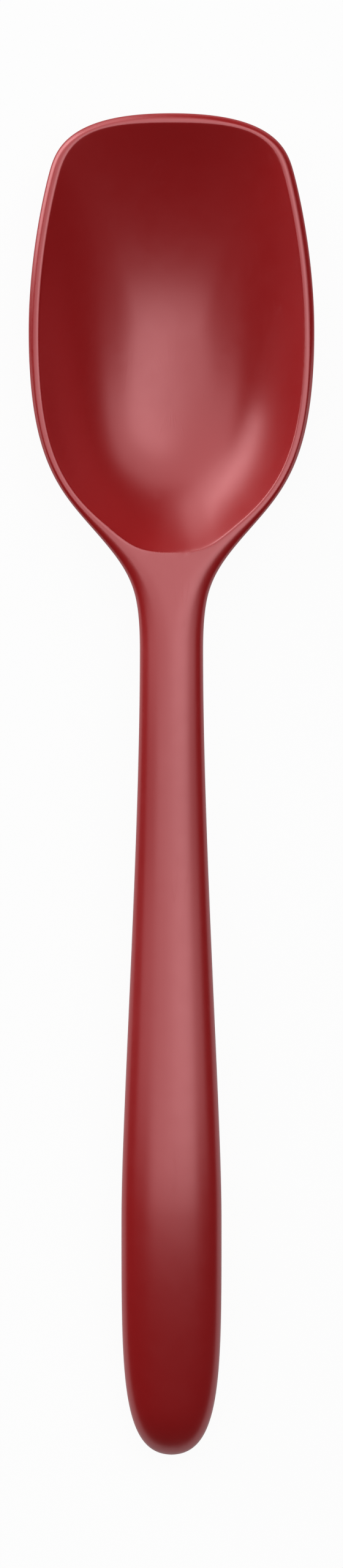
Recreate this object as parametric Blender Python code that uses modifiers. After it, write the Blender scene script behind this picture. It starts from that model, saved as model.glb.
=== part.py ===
"""Serving spoon: one solid moulding, a thin-walled blunt bowl carried by a slender arched handle.

The spoon is pressed in a two-part die, so nothing on it is undercut. The upper face and the
lower face are therefore two height fields over one plan, and they meet along the outline,
which is the parting line. The plan is a loft: rings of the bowl's hollow grow from the floor
to the rim's inner edge, and from there one band follows the outline from the tip, round the
rim and down the neck and the handle to the tail. Only the right half is lofted, and a mirror
makes the rest.

Along the outline the head has its blunt tip with two corners, its sides out to the widest
point, its cheeks from there to the shoulders, and the neck. The heel is where the hollow ends
towards the handle, and the belly is the bowl's underside.

X runs across the spoon, Y from the tail to the tip, and Z up from the table. The origin lies
on the table, under the middle of the spoon's length and width.
"""
import math
from collections import namedtuple

import bmesh
import bpy
import numpy as np
from mathutils import Vector

MM = 0.001

# Overall sizes
LENGTH = 260.0 * MM
HEAD_WIDTH = 55.3 * MM
NECK_WIDTH = 12.3 * MM
GRIP_WIDTH = 19.5 * MM

# Where the outline turns, along the spoon from the tip or from the tail
TIP_TO_CORNER = 9.2 * MM
TIP_TO_WIDEST = 42.0 * MM
TIP_TO_SHOULDER = 81.4 * MM
TIP_TO_NECK = 104.2 * MM
TAIL_TO_GRIP = 46.5 * MM

# Width and heading of the outline at the blunt corner and at the shoulder
CORNER_WIDTH = 45.9 * MM
CORNER_HEADING = math.radians(-70.0)
SHOULDER_WIDTH = 28.6 * MM
SHOULDER_HEADING = math.radians(-131.0)

# How far each stretch of the outline keeps the direction of its ends
TIP_PULL = 11.0 * MM
CORNER_PULL_FORE = 7.7 * MM
CORNER_PULL_AFT = 3.5 * MM
WIDEST_PULL_FORE = 14.8 * MM
WIDEST_PULL_AFT = 26.0 * MM
SHOULDER_PULL_FORE = 10.7 * MM
SHOULDER_PULL_AFT = 10.2 * MM
NECK_PULL_FORE = 12.0 * MM
NECK_PULL_AFT = 36.5 * MM
GRIP_PULL_FORE = 19.6 * MM
GRIP_PULL_AFT = 29.6 * MM
TAIL_PULL = 10.2 * MM

# Opening of the bowl, inside the rim, which is a little wider and turned in at the shoulder
RIM_WIDTH = 1.95 * MM
CHEEK_RIM_WIDTH = 2.2 * MM
CHEEK_RIM_LEAD = 1.3 * MM
CHEEK_RIM_HEADING = math.radians(-140.0)
TIP_TO_HEEL = 85.0 * MM
SIDE_RIM_PULL = 20.0 * MM
CHEEK_RIM_PULL_FORE = 12.0 * MM
CHEEK_RIM_PULL_AFT = 7.0 * MM
HEEL_PULL = 7.0 * MM

# Hollow of the bowl: the steeper a wall, the flatter the floor before it
TIP_TO_FLOOR = 54.0 * MM
FLOOR_WALL = 2.5 * MM
TIP_STEEPNESS = 2.3
SIDE_STEEPNESS = 2.6
HEEL_STEEPNESS = 2.3

# Belly of the bowl, which runs on behind the heel and flares there into the neck
BELLY_STEEPNESS = 2.45
BELLY_RUN = 9.0 * MM
BELLY_PULL = 7.0 * MM
HEEL_FLARE = 1.5
HEEL_SPREAD = math.radians(30.0)

# Depth of the flat ground off the belly, on which the bowl rests
FOOT_FLAT = 0.3 * MM

# Height of the top line above the table
TIP_HEIGHT = 15.4 * MM
WIDEST_HEIGHT = 16.2 * MM
SHOULDER_HEIGHT = 16.9 * MM
NECK_HEIGHT = 17.9 * MM
DIP_HEIGHT = 17.4 * MM
ARCH_HEIGHT = 18.3 * MM
GRIP_HEIGHT = 17.9 * MM
DROOP_HEIGHT = 13.2 * MM
TAIL_HEIGHT = 8.9 * MM
TAIL_TO_DIP = 114.0 * MM
TAIL_TO_ARCH = 75.0 * MM
TAIL_TO_DROOP = 17.0 * MM

# Crown above the parting line, and keel below it
RIM_CROWN = 1.0 * MM
NECK_CROWN = 2.8 * MM
GRIP_CROWN = 4.4 * MM
RIM_KEEL = 0.6 * MM
NECK_KEEL = 3.6 * MM
GRIP_KEEL = 5.7 * MM
TAIL_ROUNDING = 9.0 * MM
SECTION_FULLNESS = 2.15

# Rounding of the rim's flank, and the length of shoulder over which it widens into the neck
RIM_FLANK = 1.0 * MM
FLANK_LENGTH = 32.0 * MM

# How far the neck's keel carries on under the bowl, and the length over which it then fades
KEEL_RUN = 14.0 * MM
KEEL_FADE = 22.0 * MM
HEEL_BLEND = 1.8

# Easing of the rim's inner edge
RIM_EDGE_RADIUS = 0.35 * MM
RIM_EDGE_STEPS = 2

# Fineness of the loft
TIP_STATIONS = 11
SIDE_STATIONS = 8
CHEEK_STATIONS = 12
HEEL_STATIONS = 13
NECK_STATIONS = 9
SHAFT_STATIONS = 20
TAIL_STATIONS = 16
HOLLOW_RINGS = 12
BAND_STEPS = 8

# Fineness of the curves that heights are measured from
CURVE_STEPS = 80
HALVINGS = 40
MERGE_DISTANCE = 0.01 * MM

RED = (0.262, 0.010, 0.013, 1.0)
ROUGHNESS = 0.35

TIP_Y = LENGTH / 2
TAIL_Y = -LENGTH / 2
NECK_Y = TIP_Y - TIP_TO_NECK
FLOOR_Y = TIP_Y - TIP_TO_FLOOR
HEEL_Y = TIP_Y - TIP_TO_HEEL

Knot = namedtuple("Knot", "x y heading pull_in pull_out")


def outline_knots():
    """Knots of the right half of the outline, from the tip round to the tail."""
    return [
        Knot(0.0, TIP_Y, 0.0, 0.0, TIP_PULL),
        Knot(CORNER_WIDTH / 2, TIP_Y - TIP_TO_CORNER, CORNER_HEADING, CORNER_PULL_FORE, CORNER_PULL_AFT),
        Knot(HEAD_WIDTH / 2, TIP_Y - TIP_TO_WIDEST, math.radians(-90.0), WIDEST_PULL_FORE, WIDEST_PULL_AFT),
        Knot(SHOULDER_WIDTH / 2, TIP_Y - TIP_TO_SHOULDER, SHOULDER_HEADING,
             SHOULDER_PULL_FORE, SHOULDER_PULL_AFT),
        Knot(NECK_WIDTH / 2, NECK_Y, math.radians(-90.0), NECK_PULL_FORE, NECK_PULL_AFT),
        Knot(GRIP_WIDTH / 2, TAIL_Y + TAIL_TO_GRIP, math.radians(-90.0), GRIP_PULL_FORE, GRIP_PULL_AFT),
        Knot(0.0, TAIL_Y, math.radians(-180.0), TAIL_PULL, 0.0),
    ]


def inset(knot, width, lead=0.0, heading=None, pull_in=None, pull_out=None):
    """A knot moved inwards from the outline by a width, and back along it by a lead."""
    along = Vector((math.cos(knot.heading), math.sin(knot.heading)))
    inward = Vector((along.y, -along.x))
    place = Vector((knot.x, knot.y)) + inward * width - along * lead
    return Knot(place.x, place.y, knot.heading if heading is None else heading,
                knot.pull_in if pull_in is None else pull_in,
                knot.pull_out if pull_out is None else pull_out)


def opening_knots(outline):
    """Knots of the right half of the bowl's opening, from the tip round to the heel."""
    tip, corner, widest, shoulder = outline[:4]
    return [
        inset(tip, RIM_WIDTH),
        inset(corner, RIM_WIDTH),
        inset(widest, RIM_WIDTH, pull_out=SIDE_RIM_PULL),
        inset(shoulder, CHEEK_RIM_WIDTH, CHEEK_RIM_LEAD, CHEEK_RIM_HEADING,
              CHEEK_RIM_PULL_FORE, CHEEK_RIM_PULL_AFT),
        Knot(0.0, HEEL_Y, math.radians(-180.0), HEEL_PULL, 0.0),
    ]


def along_curve(start, end, share):
    """The point at a share of the cubic curve between two knots."""
    p0 = Vector((start.x, start.y))
    p3 = Vector((end.x, end.y))
    p1 = p0 + start.pull_out * Vector((math.cos(start.heading), math.sin(start.heading)))
    p2 = p3 - end.pull_in * Vector((math.cos(end.heading), math.sin(end.heading)))
    rest = 1.0 - share
    return rest ** 3 * p0 + 3 * rest ** 2 * share * p1 + 3 * rest * share ** 2 * p2 + share ** 3 * p3


def trace(knots, steps):
    """Points along a chain of knots, with the given number of steps on each stretch."""
    points = [along_curve(knots[0], knots[1], 0.0)]
    for start, end, count in zip(knots, knots[1:], steps):
        points += [along_curve(start, end, step / count) for step in range(1, count + 1)]
    return points


def smooth(share):
    """An even change from 0 to 1 that starts and ends level."""
    share = min(max(share, 0.0), 1.0)
    return share * share * (3.0 - 2.0 * share)


def rounded(share, fullness=2.0):
    """Height of a rounded flank, from 0 at its foot to 1 where it turns level."""
    rest = 1.0 - min(max(share, 0.0), 1.0)
    return (1.0 - rest ** fullness) ** (1.0 / fullness)


class TopLine:
    """The spoon's top line in side view: one curve of even bend through the named heights."""

    def __init__(self):
        self.y = np.array([TAIL_Y, TAIL_Y + TAIL_TO_DROOP, TAIL_Y + TAIL_TO_GRIP, TAIL_Y + TAIL_TO_ARCH,
                           TAIL_Y + TAIL_TO_DIP, NECK_Y, TIP_Y - TIP_TO_SHOULDER,
                           TIP_Y - TIP_TO_WIDEST, TIP_Y])
        self.z = np.array([TAIL_HEIGHT, DROOP_HEIGHT, GRIP_HEIGHT, ARCH_HEIGHT,
                           DIP_HEIGHT, NECK_HEIGHT, SHOULDER_HEIGHT,
                           WIDEST_HEIGHT, TIP_HEIGHT])
        count = len(self.y)
        step = np.diff(self.y)
        rise = np.diff(self.z) / step
        matrix = np.zeros((count, count))
        right = np.zeros(count)
        matrix[0, 0] = matrix[-1, -1] = 1.0
        for i in range(1, count - 1):
            matrix[i, i - 1:i + 2] = step[i - 1], 2.0 * (step[i - 1] + step[i]), step[i]
            right[i] = 6.0 * (rise[i] - rise[i - 1])
        self.bend = np.linalg.solve(matrix, right)

    def __call__(self, y):
        i = int(np.clip(np.searchsorted(self.y, y) - 1, 0, len(self.y) - 2))
        step = self.y[i + 1] - self.y[i]
        a = (self.y[i + 1] - y) / step
        b = (y - self.y[i]) / step
        bow = ((a ** 3 - a) * self.bend[i] + (b ** 3 - b) * self.bend[i + 1]) * step ** 2 / 6.0
        return a * self.z[i] + b * self.z[i + 1] + bow


class Contours:
    """Level lines of a bowl: round near its floor, and drawn out to its edge near the top."""

    def __init__(self, edge):
        self.floor = Vector((0.0, FLOOR_Y))
        spokes = [Vector(point) - self.floor for point in edge]
        self.angles = np.array([math.atan2(spoke.x, -spoke.y) for spoke in spokes])[::-1]
        self.reach = np.array([spoke.length for spoke in spokes])[::-1]
        self.half_width = max(point.x for point in edge)
        self.to_heel = self.reach[0]
        self.to_tip = self.reach[-1]

    def oval(self, angle):
        """Reach of the round floor in a direction, measured from the heel's side."""
        share = smooth(0.5 - 0.5 * math.cos(angle))
        lengthways = self.to_heel + (self.to_tip - self.to_heel) * share
        return 1.0 / math.hypot(math.sin(angle) / self.half_width, math.cos(angle) / lengthways)

    def edge(self, angle):
        """Reach of the bowl's edge in a direction."""
        return float(np.interp(angle, self.angles, self.reach))

    def distance(self, level, angle):
        """Distance from the floor's centre to a level line, where level 1 is the edge."""
        oval = self.oval(angle)
        return level * (oval + (self.edge(angle) - oval) * min(level, 1.0) ** 2)

    def level(self, x, y):
        """The level line through a point of the plan, and its direction from the floor."""
        out_x, out_y = x - self.floor.x, y - self.floor.y
        away = math.hypot(out_x, out_y)
        angle = math.atan2(out_x, -out_y)
        low, high = 0.0, 2.0 * away / self.to_heel + 2.0
        for _ in range(HALVINGS):
            middle = (low + high) / 2
            if self.distance(middle, angle) < away:
                low = middle
            else:
                high = middle
        return (low + high) / 2, angle


class Spoon:
    """The two faces of the moulding over its plan."""

    def __init__(self):
        self.outline = outline_knots()
        self.opening = opening_knots(self.outline)
        self.top_line = TopLine()
        fine = trace(self.outline, [CURVE_STEPS] * (len(self.outline) - 1))
        self.fine_outline = np.array([(point.x, point.y) for point in fine])
        self.hollow_lines = Contours(trace(self.opening, [CURVE_STEPS] * (len(self.opening) - 1)))
        self.belly_lines = Contours(self.belly_edge())

    def belly_edge(self):
        """The outer edge of the bowl alone: the outline, closed round behind the heel."""
        head = self.outline[:4]
        heel = Knot(0.0, HEEL_Y - BELLY_RUN, math.radians(-180.0), BELLY_PULL, 0.0)
        return trace(head + [heel], [CURVE_STEPS] * len(head))

    def half_width(self, y):
        """Half the spoon's width at a place along the handle."""
        handle = self.fine_outline[self.fine_outline[:, 1] <= NECK_Y + MM]
        return float(np.interp(-y, -handle[:, 1], handle[:, 0]))

    def edge_distance(self, x, y):
        """Distance in plan from a point to the outline."""
        start = self.fine_outline[:-1]
        span = self.fine_outline[1:] - start
        share = (((x, y) - start) * span).sum(axis=1) / (span ** 2).sum(axis=1)
        nearest = start + np.clip(share, 0.0, 1.0)[:, None] * span
        return float(np.hypot(*(nearest - (x, y)).T).min())

    def between(self, y, rim, neck, grip, run=0.0, fade=FLANK_LENGTH):
        """A size that changes from the rim to the neck, and from the neck to the grip."""
        if y > NECK_Y:
            return neck + (rim - neck) * smooth((y - NECK_Y - run) / fade)
        return neck + (grip - neck) * smooth((NECK_Y - y) / (NECK_Y - TAIL_Y - TAIL_TO_GRIP))

    def flank(self, x, y, run=0.0, fade=FLANK_LENGTH):
        """How far a point has climbed up the rounded flank, from 0 at the outline to 1."""
        if y > NECK_Y:
            width = self.between(y, RIM_FLANK, NECK_WIDTH / 2, 0.0, run, fade)
            return rounded(self.edge_distance(x, y) / width, SECTION_FULLNESS)
        half_width = self.half_width(y)
        if half_width == 0.0:
            return 0.0
        end = rounded((y - TAIL_Y) / TAIL_ROUNDING)
        return end * rounded(1.0 - x / half_width, SECTION_FULLNESS)

    def parting(self, y):
        """Height of the parting line."""
        return self.top_line(y) - self.between(y, RIM_CROWN, NECK_CROWN, GRIP_CROWN)

    def crown(self, x, y):
        """Upper face of the rim, the neck and the handle."""
        return self.parting(y) + self.between(y, RIM_CROWN, NECK_CROWN, GRIP_CROWN) * self.flank(x, y)

    def hollow(self, x, y):
        """Upper face inside the bowl."""
        level, angle = self.hollow_lines.level(x, y)
        edge_y = FLOOR_Y - self.hollow_lines.edge(angle) * math.cos(angle)
        side = math.sin(angle) ** 2
        end = TIP_STEEPNESS if math.cos(angle) < 0.0 else HEEL_STEEPNESS
        steepness = end + (SIDE_STEEPNESS - end) * side
        depth = self.top_line(edge_y) - FLOOR_WALL
        return FLOOR_WALL + depth * min(level, 1.0) ** steepness

    def underside(self, x, y):
        """Lower face: the bowl's belly run into the keel of the neck and the handle."""
        depth = self.between(y, RIM_KEEL, NECK_KEEL, GRIP_KEEL, KEEL_RUN, KEEL_FADE)
        keel = depth * self.flank(x, y, KEEL_RUN, KEEL_FADE)
        parting = self.parting(y)
        belly = 0.0
        if y > NECK_Y:
            level, angle = self.belly_lines.level(x, y)
            edge_height = self.parting(FLOOR_Y - self.belly_lines.edge(angle) * math.cos(angle))
            flare = 1.0 + (HEEL_FLARE - 1.0) * smooth(1.0 - angle / HEEL_SPREAD)
            share = (1.0 - min(level, 1.0) ** BELLY_STEEPNESS) ** flare
            belly = max(parting - edge_height + (edge_height + FOOT_FLAT) * share, 0.0)
        drop = (belly ** HEEL_BLEND + keel ** HEEL_BLEND) ** (1.0 / HEEL_BLEND)
        return max(parting - drop, 0.0)


def plan_of_hollow(spoon):
    """Rings of plan points from the bowl's floor out to the rim's inner edge."""
    rim = trace(spoon.opening, [TIP_STATIONS, SIDE_STATIONS, CHEEK_STATIONS, HEEL_STATIONS])
    lines = spoon.hollow_lines
    rings = []
    for ring in range(1, HOLLOW_RINGS + 1):
        points = []
        for point in rim:
            out = point - lines.floor
            angle = math.atan2(out.x, -out.y)
            points.append(lines.floor + out.normalized() * lines.distance(ring / HOLLOW_RINGS, angle))
        points[0].x = points[-1].x = 0.0
        rings.append(points)
    return rings


def plan_of_band(spoon, rim):
    """Lines of plan points from the tip to the tail, from the rim's inner edge to the outline.

    Past the heel the innermost line is the spoon's centre line, so that the rim's band runs
    on as the half-section of the neck and the handle.
    """
    stations = [TIP_STATIONS, SIDE_STATIONS, CHEEK_STATIONS, HEEL_STATIONS + NECK_STATIONS,
                SHAFT_STATIONS, TAIL_STATIONS]
    outline = trace(spoon.outline, stations)[:-1]
    inside = list(rim)
    for step in range(1, NECK_STATIONS + 1):
        inside.append(rim[-1].lerp(Vector((0.0, NECK_Y)), step / NECK_STATIONS))
    for point in outline[len(inside):]:
        inside.append(Vector((0.0, point.y)))
    lines = []
    for step in range(BAND_STEPS + 1):
        share = math.sin(math.pi / 2 * step / BAND_STEPS)
        lines.append([inner.lerp(outer, share) for inner, outer in zip(inside, outline)])
    return lines


def line_vertices(bm, lines, height):
    """One vertex for each plan point, at the face's height there."""
    return [[bm.verts.new((point.x, point.y, height(point.x, point.y))) for point in line]
            for line in lines]


def loft_side(bm, floor, rings, band, tail, upper):
    """Faces of one side: a fan at the floor, the rings, the band, and a fan at the tail."""
    corners = [(floor, after, before) for before, after in zip(rings[0], rings[0][1:])]
    for lines in (rings, band):
        for inner, outer in zip(lines, lines[1:]):
            corners += zip(inner, inner[1:], outer[1:], outer)
    corners += [(inner[-1], tail, outer[-1]) for inner, outer in zip(band, band[1:])]
    for face in corners:
        bm.faces.new(face if upper else face[::-1])


def loft_half():
    """The right half of the spoon as a bmesh, open at the plane X = 0."""
    spoon = Spoon()
    hollow_plan = plan_of_hollow(spoon)
    rim_plan = hollow_plan.pop()
    band_plan = plan_of_band(spoon, rim_plan)
    floor_place = spoon.hollow_lines.floor
    bm = bmesh.new()
    tail = bm.verts.new((0.0, TAIL_Y, spoon.parting(TAIL_Y)))

    floor = bm.verts.new((floor_place.x, floor_place.y, FLOOR_WALL))
    outline = [bm.verts.new((point.x, point.y, spoon.parting(point.y))) for point in band_plan[-1]]
    band = line_vertices(bm, band_plan[:-1], spoon.crown) + [outline]
    rim = band[0][:len(rim_plan)]
    loft_side(bm, floor, line_vertices(bm, hollow_plan, spoon.hollow) + [rim], band, tail, True)

    foot = bm.verts.new((floor_place.x, floor_place.y, 0.0))
    under_band = line_vertices(bm, band_plan[:-1], spoon.underside) + [outline]
    under_rim = under_band[0][:len(rim_plan)]
    under_rings = line_vertices(bm, hollow_plan, spoon.underside) + [under_rim]
    loft_side(bm, foot, under_rings, under_band, tail, False)

    weight = bm.edges.layers.float.new("bevel_weight_edge")
    for before, after in zip(rim, rim[1:]):
        bm.edges.get((before, after))[weight] = 1.0
    return bm


def red_melamine():
    """Deep red moulding resin, coloured right through, with the satin gloss of the die."""
    material = bpy.data.materials.new("red_melamine")
    material.use_nodes = True
    shader = material.node_tree.nodes["Principled BSDF"]
    shader.inputs["Base Color"].default_value = RED
    shader.inputs["Roughness"].default_value = ROUGHNESS
    shader.inputs["Metallic"].default_value = 0.0
    material.diffuse_color = RED
    return material


def make_spoon(collection):
    """The one moulding: its half loft, mirrored, with the rim's inner edge eased."""
    mesh = bpy.data.meshes.new("spoon")
    bm = loft_half()
    bm.to_mesh(mesh)
    bm.free()
    mesh.materials.append(red_melamine())
    mesh.shade_smooth()
    spoon = bpy.data.objects.new("spoon", mesh)
    collection.objects.link(spoon)

    mirror = spoon.modifiers.new("other_half", "MIRROR")
    mirror.use_axis = (True, False, False)
    mirror.merge_threshold = MERGE_DISTANCE

    edge = spoon.modifiers.new("rim_edge", "BEVEL")
    edge.limit_method = "WEIGHT"
    edge.offset_type = "OFFSET"
    edge.width = RIM_EDGE_RADIUS
    edge.segments = RIM_EDGE_STEPS
    return spoon


def main():
    for old in list(bpy.data.objects):
        bpy.data.objects.remove(old)
    collection = bpy.data.collections.new("serving_spoon")
    bpy.context.scene.collection.children.link(collection)
    make_spoon(collection)


main()
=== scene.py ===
"""Looks of a serving spoon moulded in one piece of red melamine, in the frame of its CAD model.

Laid out as an add-on and run as a script: the panel in the sidebar lists the same steps that main() takes.
"""

import math

import bmesh
import bpy
from bpy.props import FloatProperty, FloatVectorProperty, IntProperty, PointerProperty
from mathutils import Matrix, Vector
from mathutils.kdtree import KDTree


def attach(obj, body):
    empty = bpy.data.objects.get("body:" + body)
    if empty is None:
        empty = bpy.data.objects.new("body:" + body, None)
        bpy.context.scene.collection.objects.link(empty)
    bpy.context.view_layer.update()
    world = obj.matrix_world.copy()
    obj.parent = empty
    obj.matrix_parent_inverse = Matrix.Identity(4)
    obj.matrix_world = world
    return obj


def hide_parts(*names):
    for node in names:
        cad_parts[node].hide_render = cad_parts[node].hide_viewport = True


bl_info = {
    "name": "Serving Spoon",
    "version": (1, 0, 0),
    "blender": (4, 5, 0),
    "location": "3D View > Sidebar > Spoon",
    "description": "Dresses a one-piece moulded serving spoon and sets up a plain studio round it",
    "category": "Object",
}

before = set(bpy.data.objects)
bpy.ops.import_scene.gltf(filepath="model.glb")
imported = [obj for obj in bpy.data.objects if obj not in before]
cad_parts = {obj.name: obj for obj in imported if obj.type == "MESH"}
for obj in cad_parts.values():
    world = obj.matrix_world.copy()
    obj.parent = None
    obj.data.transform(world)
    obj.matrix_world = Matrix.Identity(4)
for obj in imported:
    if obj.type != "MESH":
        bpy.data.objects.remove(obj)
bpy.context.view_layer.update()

NODE = "spoon"
WELD = 1e-6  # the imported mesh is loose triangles, so corners this close are one

# Each set of hairlines has the turn of its noise, the spread of its lines in metres, and their width as a
# share of the noise. All the lines run along the spoon, because the noise is drawn out before it is turned:
# the turn only makes the two sets differ.
HAIRLINE_SETS = ((0.35, 0.004, 0.006), (-0.5, 0.0055, 0.004))
HAIRLINE_SCALE = (1.0, 0.06, 1.0)
PATCH_EDGE = (0.50, 0.68)  # the noise where a patch of hairlines starts, and where it is full

SENSOR_WIDTH = 36.0
VIEW_RANGE = (0.01, 20.0)  # from the nearest thing that the camera shows to the farthest


class Wire:
    """An output socket in a material or a world. Sums and products of wires add their Math nodes."""

    def __init__(self, tree, socket=None):
        self.tree = tree
        self.socket = socket

    def node(self, kind, settings, sockets, output=0):
        """Add a node of a kind, set it up, fill its sockets with values or wires, and give one output."""
        made = self.tree.nodes.new(kind)
        for name, value in settings.items():
            setattr(made, name, value)
        for name, value in sockets.items():
            if isinstance(name, int):
                socket = made.inputs[name]
            else:
                socket = next(s for s in made.inputs if s.name == name and s.enabled)
            if isinstance(value, Wire):
                self.tree.links.new(value.socket, socket)
            else:
                socket.default_value = value
        if isinstance(output, int):
            return Wire(self.tree, made.outputs[output])
        return Wire(self.tree, next(s for s in made.outputs if s.name == output and s.enabled))

    def math(self, operation, *values):
        """Add a Math node for one or two values or wires."""
        return self.node("ShaderNodeMath", {"operation": operation}, dict(enumerate(values)))

    def __add__(self, other):
        return self.math("ADD", self, other)

    def __radd__(self, other):
        return self.math("ADD", other, self)

    def __sub__(self, other):
        return self.math("SUBTRACT", self, other)

    def __rsub__(self, other):
        return self.math("SUBTRACT", other, self)

    def __mul__(self, other):
        return self.math("MULTIPLY", self, other)

    def __rmul__(self, other):
        return self.math("MULTIPLY", other, self)

    def __abs__(self):
        return self.math("ABSOLUTE", self)


class MouldingSizes(bpy.types.PropertyGroup):
    """How the moulding's surface is refined, trimmed and marked."""

    levels: IntProperty(
        name="Smoothing levels", description="Subdivision steps of the moulded surface",
        default=2, min=0, max=2
    )
    pair_angle: FloatProperty(
        name="Pairing angle", description="Two facets join into one face up to this angle between them",
        default=math.radians(40), subtype="ANGLE"
    )
    pair_shape: FloatProperty(
        name="Pairing shape", description="How far the corners of a joined face may be from square",
        default=math.radians(60), subtype="ANGLE"
    )
    wear_radius: FloatProperty(
        name="Wear radius", description="An edge rounded as tightly as this is rubbed smooth in use",
        default=0.0007, precision=4, unit="LENGTH"
    )
    wear_reach: FloatProperty(
        name="Wear reach", description="An edge rounded more than this shows no wear",
        default=0.003, precision=4, unit="LENGTH"
    )
    seam_slope: FloatProperty(
        name="Seam slope", description="Lean of a side, off upright, up to which the mould's seam shows",
        default=math.radians(12), subtype="ANGLE"
    )
    trim: FloatProperty(
        name="Trim", description="How flat the outer side of the bowl's rim is: 0 is round, 1 is straight",
        default=0.75, min=0.0, max=1.0, subtype="FACTOR"
    )
    trim_width: FloatProperty(
        name="Trim width", description="Width of the trimmed side, seen from above",
        default=0.00105, precision=5, unit="LENGTH"
    )
    trim_height: FloatProperty(
        name="Trim height", description="Height of the trimmed side",
        default=0.001, precision=4, unit="LENGTH"
    )
    trim_from: FloatProperty(
        name="Trim from", description="Where the trimming starts, from the spoon's middle to its tip",
        default=0.05, unit="LENGTH"
    )
    trim_run: FloatProperty(
        name="Trim run", description="Length over which the trimming grows from nothing",
        default=0.02, unit="LENGTH"
    )


class MelamineLook(bpy.types.PropertyGroup):
    """Colour and surface of the red melamine."""

    red: FloatVectorProperty(
        name="Red", description="Colour of the melamine, all the way through", subtype="COLOR",
        default=(0.292, 0.0010, 0.0016), min=0.0, max=1.0
    )
    deep_red: FloatVectorProperty(
        name="Deep red", description="The melamine where its pigment is denser", subtype="COLOR",
        default=(0.276, 0.0008, 0.0013), min=0.0, max=1.0
    )
    index: FloatProperty(
        name="Refractive index", description="Refractive index of the melamine", default=1.70, min=1.0
    )
    reflection: FloatProperty(
        name="Reflection", description="Strength of the reflection, where 0.5 is what the index gives",
        default=1.0, min=0.0, max=1.0
    )
    reflection_tint: FloatVectorProperty(
        name="Reflection tint", description="Colour of what the melamine mirrors straight on",
        subtype="COLOR", default=(1.0, 0.52, 0.545), min=0.0, max=1.0
    )
    roughness: FloatProperty(
        name="Roughness", description="Satin of the moulded surface", default=0.30, min=0.0, max=1.0
    )
    smear: FloatProperty(
        name="Smear", description="How much the roughness varies over the surface", default=0.06, min=0.0
    )
    polish: FloatProperty(
        name="Polish", description="How much roughness a rubbed edge has lost", default=0.06, min=0.0
    )
    scratch_dulling: FloatProperty(
        name="Scratch dulling", description="Roughness that the hairline scratches add",
        default=0.05, min=0.0
    )
    seam_dulling: FloatProperty(
        name="Seam dulling", description="Roughness that the trimmed seam of the mould adds",
        default=0.1, min=0.0
    )
    smear_size: FloatProperty(
        name="Smear size", description="Spread of the changes in roughness", default=0.003, unit="LENGTH"
    )
    cloud_size: FloatProperty(
        name="Cloud size", description="Spread of the faint clouds in the colour",
        default=0.022, unit="LENGTH"
    )
    patch_size: FloatProperty(
        name="Patch size", description="Spread of the patches that have hairline scratches",
        default=0.012, unit="LENGTH"
    )
    scratch_depth: FloatProperty(
        name="Scratch depth", description="Depth of the hairline scratches from use",
        default=0.0000015, precision=7, unit="LENGTH"
    )
    grain_size: FloatProperty(
        name="Grain size", description="Size of the fine grain in the surface",
        default=0.0005, precision=4, unit="LENGTH"
    )
    grain_height: FloatProperty(
        name="Grain height", description="Height of the fine grain",
        default=0.0000012, precision=7, unit="LENGTH"
    )
    ripple_size: FloatProperty(
        name="Ripple size", description="Spread of the slow ripple that the mould leaves",
        default=0.009, unit="LENGTH"
    )
    ripple_height: FloatProperty(
        name="Ripple height", description="Height of the slow ripple",
        default=0.000008, precision=7, unit="LENGTH"
    )


class StudioSizes(bpy.types.PropertyGroup):
    """Floor, lamps and camera."""

    camera_height: FloatProperty(
        name="Camera height", description="Height of the camera straight above the spoon",
        default=1.6973, unit="LENGTH"
    )
    camera_place: FloatProperty(
        name="Camera place", description="How far the camera stands from the middle towards the tip",
        default=0.00037, precision=5, unit="LENGTH"
    )
    lens: FloatProperty(
        name="Lens", description="Focal length in millimetres, on a sensor 36 mm wide", default=200.0
    )
    floor_colour: FloatVectorProperty(
        name="Floor colour", description="Colour of the plain floor", subtype="COLOR",
        default=(0.7, 0.7, 0.7), min=0.0, max=1.0
    )
    floor_white: FloatProperty(
        name="Floor white", description="Share of plain white that the camera sees on the floor",
        default=0.95, min=0.0, max=1.0, subtype="FACTOR"
    )
    floor_gleam: FloatProperty(
        name="Floor gleam", description="Share of that white that shows in glossy and clear surfaces",
        default=0.5, min=0.0, max=1.0, subtype="FACTOR"
    )
    floor_half: FloatProperty(
        name="Floor half width", description="From the middle of the floor to its edge",
        default=6.0, unit="LENGTH"
    )
    floor_gap: FloatProperty(
        name="Floor gap", description="Height of the spoon's lowest point above the floor",
        default=0.0001, precision=4, unit="LENGTH"
    )
    overhead_glow: FloatProperty(
        name="Overhead panel", description="Brightness of the wide panel above, where 1 is white",
        default=1.25, min=0.0
    )
    strip_glow: FloatProperty(
        name="Overhead strip", description="Brightness of the narrow strip at the wide panel's near edge",
        default=2.64, min=0.0
    )
    middle_glow: FloatProperty(
        name="Overhead middle", description="Brightness added in the wide panel's near half, to the right",
        default=1.31, min=0.0
    )
    side_glow: FloatProperty(
        name="Side panel", description="Brightness of the panel at the upper left", default=2.0, min=0.0
    )
    low_glow: FloatProperty(
        name="Low strips", description="Brightness of the two low strips together, at the upper left",
        default=2.8, min=0.0
    )
    ambient: FloatProperty(
        name="Ambient", description="Strength of the even light of the room", default=0.07, min=0.0
    )


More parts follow.
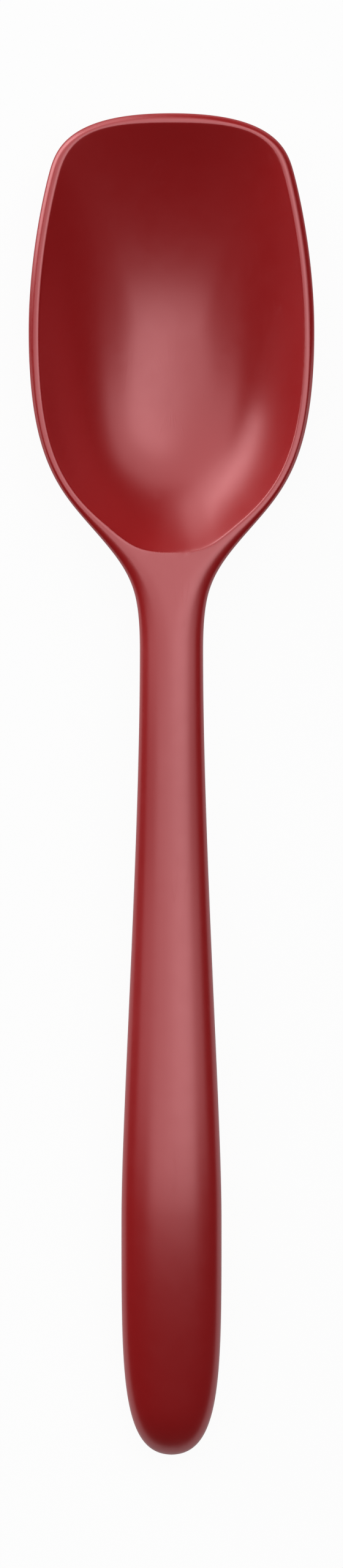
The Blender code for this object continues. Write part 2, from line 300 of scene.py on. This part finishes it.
def red_melamine(look):
    """Through-coloured melamine with faint clouds, a fine grain, hairlines, rubbed edges and a seam."""
    material = bpy.data.materials.new("red_melamine")
    material.use_nodes = True
    tree = material.node_tree
    tree.nodes.clear()
    start = Wire(tree)
    place = start.node("ShaderNodeTexCoord", {}, {}, "Object")
    wear = start.node("ShaderNodeAttribute", {"attribute_name": "wear"}, {}, "Fac")
    seam = start.node("ShaderNodeAttribute", {"attribute_name": "seam"}, {}, "Fac")

    def noise(size, detail, vector=place):
        """Soft noise about 0.5, with patches of about a size and some octaves of finer detail."""
        return start.node("ShaderNodeTexNoise", {}, {
            "Vector": vector, "Scale": 1.0 / size, "Detail": detail
        }, "Fac")

    def smooth_step(value, low, high):
        """Rise softly from 0 at the low value to 1 at the high one."""
        return start.node("ShaderNodeMapRange", {"interpolation_type": "SMOOTHSTEP"}, {
            "Value": value, "From Min": low, "From Max": high
        })

    def hairlines(turn, spread, width):
        """Lines 1 in the middle and 0 at their sides, drawn out along the spoon."""
        drawn = start.node("ShaderNodeMapping", {}, {
            "Vector": place, "Rotation": (0.0, 0.0, turn), "Scale": HAIRLINE_SCALE
        })
        return 1.0 - smooth_step(abs(noise(spread, 1.0, drawn) - 0.5), 0.0, width)

    first, second = (hairlines(*kind) for kind in HAIRLINE_SETS)
    scratches = (first + second) * smooth_step(noise(look.patch_size, 2.0), *PATCH_EDGE)

    colour = start.node("ShaderNodeMix", {"data_type": "RGBA"}, {
        "Factor": noise(look.cloud_size, 3.0), "A": (*look.deep_red, 1.0), "B": (*look.red, 1.0)
    }, "Result")
    roughness = (
        look.roughness + (noise(look.smear_size, 3.0) - 0.5) * look.smear - wear * look.polish
        + scratches * look.scratch_dulling + seam * look.seam_dulling
    )
    height = (
        noise(look.grain_size, 2.0) * look.grain_height + noise(look.ripple_size, 1.0) * look.ripple_height
        - scratches * look.scratch_depth
    )
    bump = start.node("ShaderNodeBump", {}, {"Strength": 1.0, "Distance": 1.0, "Height": height})
    shader = start.node("ShaderNodeBsdfPrincipled", {}, {
        "Base Color": colour, "Roughness": roughness, "Normal": bump, "IOR": look.index,
        "Specular IOR Level": look.reflection, "Specular Tint": (*look.reflection_tint, 1.0)
    })
    out = tree.nodes.new("ShaderNodeOutputMaterial")
    tree.links.new(shader.socket, out.inputs["Surface"])
    return material


def pale_floor(sizes):
    """A matt floor that the camera sees nearly white, with the spoon's shadow still faintly on it."""
    material = bpy.data.materials.new("pale_floor")
    material.use_nodes = True
    tree = material.node_tree
    tree.nodes.clear()
    start = Wire(tree)
    camera = start.node("ShaderNodeLightPath", {}, {}, "Is Camera Ray")
    glossy = start.node("ShaderNodeLightPath", {}, {}, "Is Glossy Ray")
    through = start.node("ShaderNodeLightPath", {}, {}, "Is Transmission Ray")
    matt = start.node("ShaderNodeBsdfDiffuse", {}, {"Color": (*sizes.floor_colour, 1.0)})
    white = start.node("ShaderNodeEmission", {}, {"Color": (1.0, 1.0, 1.0, 1.0), "Strength": 1.0})
    shader = start.node("ShaderNodeMixShader", {}, {
        0: (camera + (glossy + through) * sizes.floor_gleam) * sizes.floor_white, 1: matt, 2: white
    })
    out = tree.nodes.new("ShaderNodeOutputMaterial")
    tree.links.new(shader.socket, out.inputs["Surface"])
    return material


def new_object(name, bm, material):
    """Turn a bmesh into an object with one material, smooth all over."""
    mesh = bpy.data.meshes.new(name)
    bm.to_mesh(mesh)
    bm.free()
    mesh.materials.append(material)
    mesh.shade_smooth()
    made = bpy.data.objects.new(name, mesh)
    bpy.context.scene.collection.objects.link(made)
    return made


def bend_across(edge):
    """How tightly the surface bends over an edge, as one over its radius: positive where it bulges."""
    one, other = edge.link_faces
    apart = (one.calc_center_median() - other.calc_center_median()).length
    return edge.calc_face_angle_signed() / apart


def mark_edges(bm, sizes):
    """Mark on each point how rubbed its edge is, and how near it lies to the seam of the mould."""
    wear = bm.verts.layers.float.new("wear")
    seam = bm.verts.layers.float.new("seam")
    least = 1.0 / sizes.wear_reach
    most = 1.0 / sizes.wear_radius
    for vert in bm.verts:
        tightest = max(bend_across(edge) for edge in vert.link_edges)
        vert[wear] = min(1.0, max(0.0, (tightest - least) / (most - least)))
        vert[seam] = max(0.0, 1.0 - abs(vert.normal.z) / math.sin(sizes.seam_slope))


def trim_rim(bm, sizes):
    """Flatten the round outer side of the bowl's rim into a slope, as trimming a moulded edge does."""
    seam = bm.verts.layers.float["seam"]
    bowl = [vert for vert in bm.verts if vert.co.y > sizes.trim_from]
    outline = [vert.co.xy.to_3d() for vert in bowl if vert[seam] > 0.0]
    nearest = KDTree(len(outline))
    for number, place in enumerate(outline):
        nearest.insert(place, number)
    nearest.balance()
    for vert in bowl:
        inward = nearest.find(vert.co.xy.to_3d())[2] / sizes.trim_width
        if inward < 1.0 and vert.normal.z > 0.0:
            reach = min(1.0, (vert.co.y - sizes.trim_from) / sizes.trim_run)
            # how far a quarter round stands above the straight slope between its ends
            bulge = math.sqrt(1.0 - (1.0 - inward) ** 2) - inward
            vert.co.z -= reach * sizes.trim * sizes.trim_height * bulge


class SPOON_OT_moulding(bpy.types.Operator):
    """Make the moulding: the spoon's whole body, bowl, rim, neck and handle in one piece"""

    bl_idname = "spoon.moulding"
    bl_label = "Moulding"

    def execute(self, context):
        sizes = context.scene.spoon_moulding
        bm = bmesh.new()
        bm.from_mesh(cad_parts[NODE].data)
        bmesh.ops.remove_doubles(bm, verts=bm.verts[:], dist=WELD)
        bmesh.ops.join_triangles(
            bm, faces=bm.faces[:],
            cmp_seam=False, cmp_sharp=False, cmp_uvs=False, cmp_vcols=False, cmp_materials=False,
            angle_face_threshold=sizes.pair_angle, angle_shape_threshold=sizes.pair_shape
        )
        bm.normal_update()
        mark_edges(bm, sizes)
        trim_rim(bm, sizes)
        moulding = new_object("moulding", bm, red_melamine(context.scene.spoon_melamine))
        smooth = moulding.modifiers.new("moulded_surface", "SUBSURF")
        smooth.levels = sizes.levels
        smooth.render_levels = sizes.levels
        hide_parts(NODE)
        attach(moulding, "root")
        return {"FINISHED"}


def soft_panel(name, place, width, length, glow, level=False):
    """A soft lamp that faces the spoon or, if level, the floor. Its glow is its brightness: 1 is white."""
    facing = Vector((0.0, 0.0, -1.0)) if level else -Vector(place)
    data = bpy.data.lights.new(name, "AREA")
    data.shape = "RECTANGLE"
    data.size = width
    data.size_y = length
    data.energy = glow * math.pi * width * length
    lamp = bpy.data.objects.new(name, data)
    lamp.location = place
    lamp.rotation_euler = facing.to_track_quat("-Z", "Y").to_euler()
    bpy.context.scene.collection.objects.link(lamp)


def hang_lamps(sizes):
    """Hang the level panels overhead, and stand the side panel and the two strips at the upper left."""
    soft_panel(
        "overhead_panel", place=(0.0, 1.65, 2.0), width=4.8, length=3.5, glow=sizes.overhead_glow,
        level=True
    )
    soft_panel(
        "overhead_strip", place=(0.1, -0.25, 2.0), width=1.8, length=0.3, glow=sizes.strip_glow,
        level=True
    )
    # the middle hangs just below the wide panel, as a reflected ray misses one of two in one plane
    soft_panel(
        "overhead_middle", place=(0.5, 0.7, 1.97), width=1.0, length=1.6, glow=sizes.middle_glow,
        level=True
    )
    soft_panel("side_panel", place=(-1.105, 1.317, 0.461), width=2.5, length=0.9, glow=sizes.side_glow)
    soft_panel("side_strip", place=(-1.37, 1.07, 0.35), width=1.6, length=0.62, glow=sizes.low_glow / 2)
    soft_panel("low_strip", place=(-1.385, 1.082, 0.24), width=1.6, length=0.38, glow=sizes.low_glow / 2)


def white_room(sizes):
    """A world that the camera sees white, and that gives only the even light of the room."""
    world = bpy.data.worlds.new("room")
    world.use_nodes = True
    tree = world.node_tree
    tree.nodes.clear()
    start = Wire(tree)
    camera = start.node("ShaderNodeLightPath", {}, {}, "Is Camera Ray")
    light = start.node("ShaderNodeBackground", {}, {
        "Color": (1.0, 1.0, 1.0, 1.0), "Strength": camera * (1.0 - sizes.ambient) + sizes.ambient
    })
    out = tree.nodes.new("ShaderNodeOutputWorld")
    tree.links.new(light.socket, out.inputs["Surface"])
    return world


def camera_above(sizes):
    """A long camera that looks straight down on the spoon, with its tip at the top."""
    data = bpy.data.cameras.new("camera")
    data.sensor_width = SENSOR_WIDTH
    data.lens = sizes.lens
    data.clip_start, data.clip_end = VIEW_RANGE
    camera = bpy.data.objects.new("camera", data)
    camera.location = (0.0, sizes.camera_place, sizes.camera_height)
    bpy.context.scene.collection.objects.link(camera)
    return camera


class SPOON_OT_studio(bpy.types.Operator):
    """Lay the floor, hang the lamps and set the camera straight above the spoon"""

    bl_idname = "spoon.studio"
    bl_label = "Studio"

    def execute(self, context):
        scene = context.scene
        sizes = scene.spoon_studio
        bm = bmesh.new()
        bmesh.ops.create_grid(bm, x_segments=1, y_segments=1, size=sizes.floor_half)
        bmesh.ops.translate(bm, vec=(0.0, 0.0, -sizes.floor_gap), verts=bm.verts[:])
        new_object("floor", bm, pale_floor(sizes))
        hang_lamps(sizes)
        scene.world = white_room(sizes)
        scene.camera = camera_above(sizes)
        scene.view_settings.view_transform = "Standard"
        return {"FINISHED"}


class SPOON_PT_sidebar(bpy.types.Panel):
    """The spoon's sizes and steps, in the sidebar"""

    bl_idname = "SPOON_PT_sidebar"
    bl_label = "Serving Spoon"
    bl_space_type = "VIEW_3D"
    bl_region_type = "UI"
    bl_category = "Spoon"

    def draw(self, context):
        scene = context.scene
        for title, group, steps in (
            ("Moulding", scene.spoon_moulding, ("spoon.moulding",)),
            ("Melamine", scene.spoon_melamine, ()),
            ("Studio", scene.spoon_studio, ("spoon.studio",)),
        ):
            box = self.layout.box()
            box.label(text=title)
            for name in group.__annotations__:
                box.prop(group, name)
            for step in steps:
                box.operator(step)


CLASSES = (
    MouldingSizes, MelamineLook, StudioSizes, SPOON_OT_moulding, SPOON_OT_studio, SPOON_PT_sidebar
)


def register():
    for item in CLASSES:
        bpy.utils.register_class(item)
    bpy.types.Scene.spoon_moulding = PointerProperty(type=MouldingSizes)
    bpy.types.Scene.spoon_melamine = PointerProperty(type=MelamineLook)
    bpy.types.Scene.spoon_studio = PointerProperty(type=StudioSizes)


def unregister():
    del bpy.types.Scene.spoon_studio
    del bpy.types.Scene.spoon_melamine
    del bpy.types.Scene.spoon_moulding
    for item in reversed(CLASSES):
        bpy.utils.unregister_class(item)


def main():
    register()
    bpy.ops.spoon.moulding()
    bpy.ops.spoon.studio()


if __name__ == "__main__":
    main()
